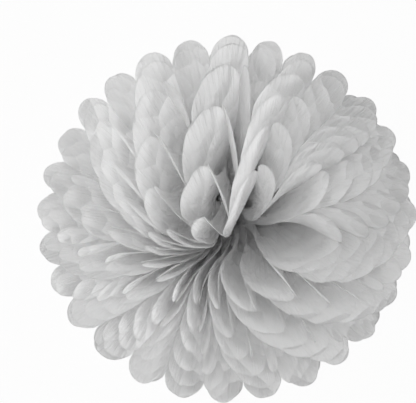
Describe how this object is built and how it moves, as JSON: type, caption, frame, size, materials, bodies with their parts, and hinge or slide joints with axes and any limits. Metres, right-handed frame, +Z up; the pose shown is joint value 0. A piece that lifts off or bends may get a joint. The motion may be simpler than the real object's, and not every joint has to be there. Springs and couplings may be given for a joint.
{
  "type": "tissue paper pom pom",
  "caption": "Ball of pleated tissue paper sheets tied at the middle with wire, each half fanned out into round-ended petals, six sheets up and six down",
  "frame": {"origin": "on the surface that the pom pom rests on, under the middle of its box", "axes": "+Z up along the axis that the petals fan round, +X along the wire's slot turned 8 degrees, +Y across it"},
  "size_m": [0.259, 0.2524, 0.2072],
  "materials": {
    "tissue": "matt pale grey tissue paper, thin enough to let light through",
    "wire": "bare soft steel tie wire"
  },
  "bodies": {
    "root": {"upper_sheet_1": "tissue", "upper_sheet_2": "tissue", "upper_sheet_3": "tissue", "upper_sheet_4": "tissue", "upper_sheet_5": "tissue", "upper_sheet_6": "tissue", "lower_sheet_1": "tissue", "lower_sheet_2": "tissue", "lower_sheet_3": "tissue", "lower_sheet_4": "tissue", "lower_sheet_5": "tissue", "lower_sheet_6": "tissue", "tie_wire": "wire"}
  },
  "joints": []
}
